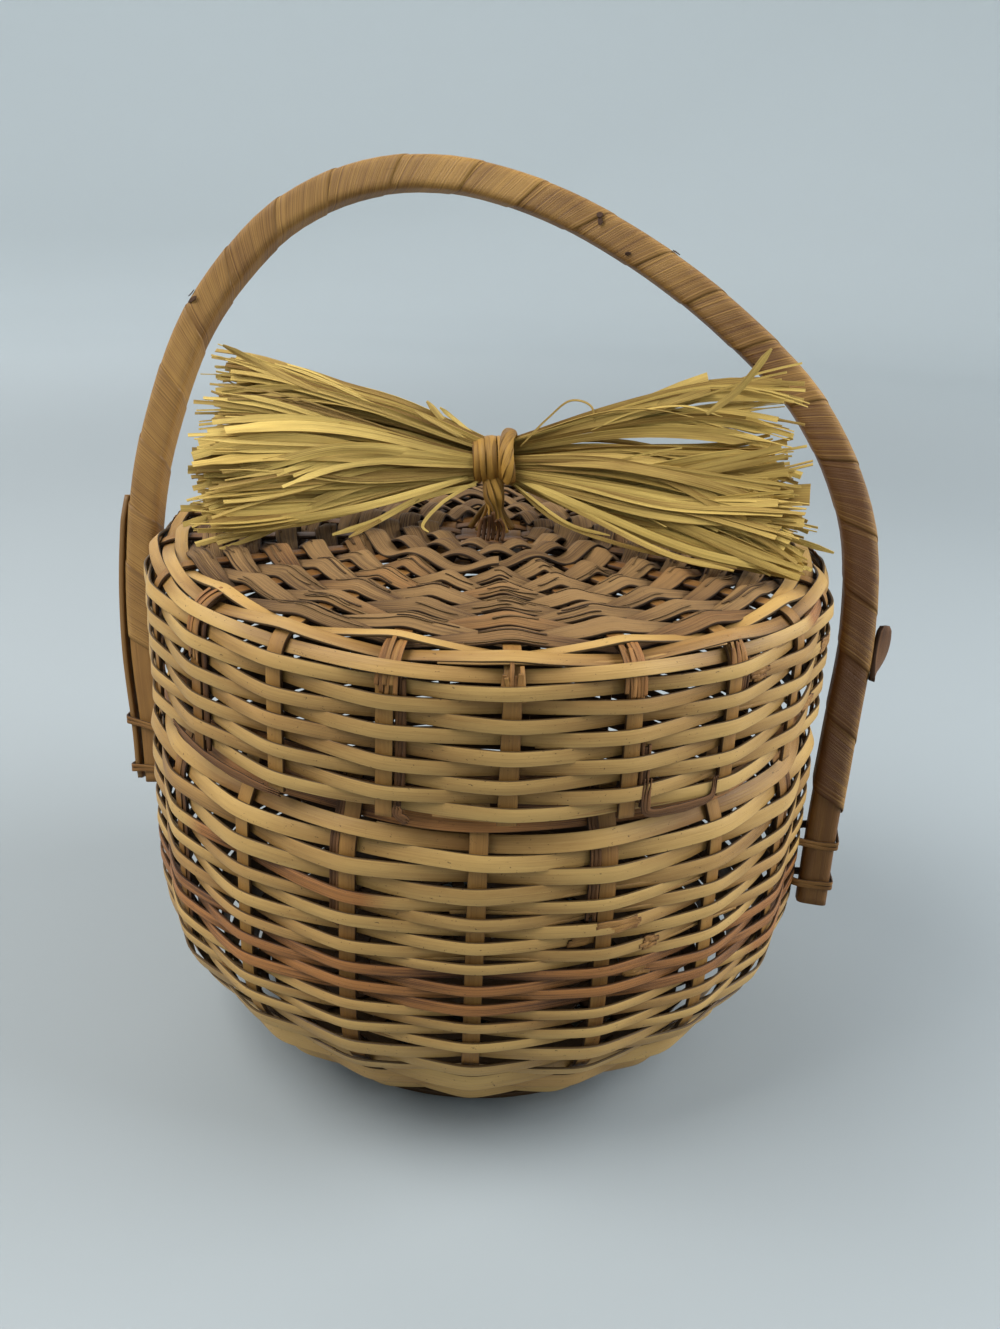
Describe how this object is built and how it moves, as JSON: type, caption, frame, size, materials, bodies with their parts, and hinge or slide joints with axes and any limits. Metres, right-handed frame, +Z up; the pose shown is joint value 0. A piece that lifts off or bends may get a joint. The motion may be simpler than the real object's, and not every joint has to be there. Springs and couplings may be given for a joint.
{
  "type": "lidded basket bag",
  "caption": "Round lidded basket of interlaced bamboo splints with a wrapped arched handle and a raffia bow on its lift-off lid, for carrying small things.",
  "frame": {"origin": "on the floor, under the middle of the round base", "axes": "+Z up, +X to the right seen from the front, the front faces -Y"},
  "size_m": [0.1959, 0.1631, 0.2086],
  "materials": {
    "stake_splint": "split bamboo, satin",
    "weaver_splint": "split bamboo, satin outer skin",
    "pith_splint": "split bamboo, fibrous inner side out",
    "lid_top_splint": "split bamboo, matt and greyed",
    "cane_strap": "flat cane, satin",
    "leaf_wrap": "dried leaf strip, fine grain",
    "raffia": "dyed raffia strands"
  },
  "bodies": {
    "basket": {"body_stake_x1": "stake_splint", "body_stake_x2": "stake_splint", "body_stake_x3": "stake_splint", "body_stake_x4": "stake_splint", "body_stake_x5": "stake_splint", "body_stake_y1": "stake_splint", "body_stake_y2": "stake_splint", "body_stake_y3": "stake_splint", "body_stake_y4": "stake_splint", "body_stake_single": "stake_splint", "body_weaver_1": "weaver_splint", "body_weaver_2": "weaver_splint", "body_weaver_3": "weaver_splint", "body_weaver_4": "weaver_splint", "body_weaver_5": "weaver_splint", "body_weaver_6": "weaver_splint", "body_weaver_7": "pith_splint", "body_weaver_8": "weaver_splint", "body_weaver_9": "weaver_splint", "body_weaver_10": "weaver_splint", "base_hoop": "stake_splint", "handle_core": "cane_strap", "handle_wrap": "leaf_wrap", "handle_strap_left": "cane_strap", "handle_strap_right": "cane_strap", "foot_loop_left_1": "stake_splint", "foot_loop_right_1": "stake_splint", "foot_loop_left_2": "stake_splint", "foot_loop_right_2": "stake_splint"},
    "lid": {"lid_stake_x1": "stake_splint", "lid_stake_x2": "stake_splint", "lid_stake_x3": "stake_splint", "lid_stake_x4": "stake_splint", "lid_stake_x5": "stake_splint", "lid_stake_y1": "stake_splint", "lid_stake_y2": "stake_splint", "lid_stake_y3": "stake_splint", "lid_stake_y4": "stake_splint", "lid_stake_y5": "stake_splint", "lid_stake_single": "stake_splint", "lid_weaver_1": "lid_top_splint", "lid_weaver_2": "lid_top_splint", "lid_weaver_3": "lid_top_splint", "lid_weaver_4": "weaver_splint", "lid_weaver_5": "weaver_splint", "lid_weaver_6": "weaver_splint", "lid_weaver_7": "weaver_splint", "raffia_fan_left": "raffia", "raffia_fan_right": "raffia", "bow_binding": "raffia", "bow_tie": "raffia"}
  },
  "joints": [
    {"name": "lid_lift", "type": "slide", "parent": "basket", "child": "lid", "axis": [0, 0, 1], "range_m": [0, 0.014]}
  ]
}
